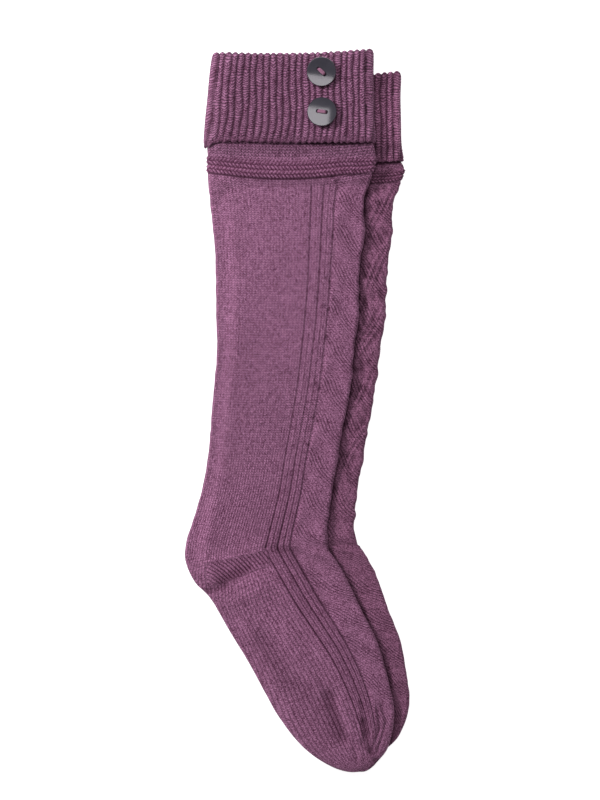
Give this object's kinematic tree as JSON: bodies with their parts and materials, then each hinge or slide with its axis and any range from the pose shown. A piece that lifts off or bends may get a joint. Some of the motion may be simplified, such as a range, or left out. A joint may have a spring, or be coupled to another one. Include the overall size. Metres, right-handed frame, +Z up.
{
  "type": "pair of knee socks with turned buttoned cuffs",
  "caption": "Pair of knitted knee socks laid flat, one on the other, with ribbed turned-down cuffs, sewn buttons, ribbed legs and short-row heels.",
  "frame": {"origin": "middle of the pair's outline seen from above, on the surface that it lies on", "axes": "+Y towards the cuffs along the legs, +X towards the toes' side, +Z up off the surface"},
  "size_m": [0.1657, 0.5339, 0.0255],
  "materials": {
    "upper_knit": "soft matt mauve knitted yarn",
    "lower_knit": "soft matt mauve knitted yarn",
    "button": "glossy dark slate plastic"
  },
  "bodies": {
    "root": {"upper_sock": "upper_knit", "upper_cuff": "upper_knit", "upper_button_top": "button", "upper_button_bottom": "button", "lower_sock": "lower_knit", "lower_cuff": "lower_knit", "lower_button_top": "button", "lower_button_bottom": "button"}
  },
  "joints": []
}
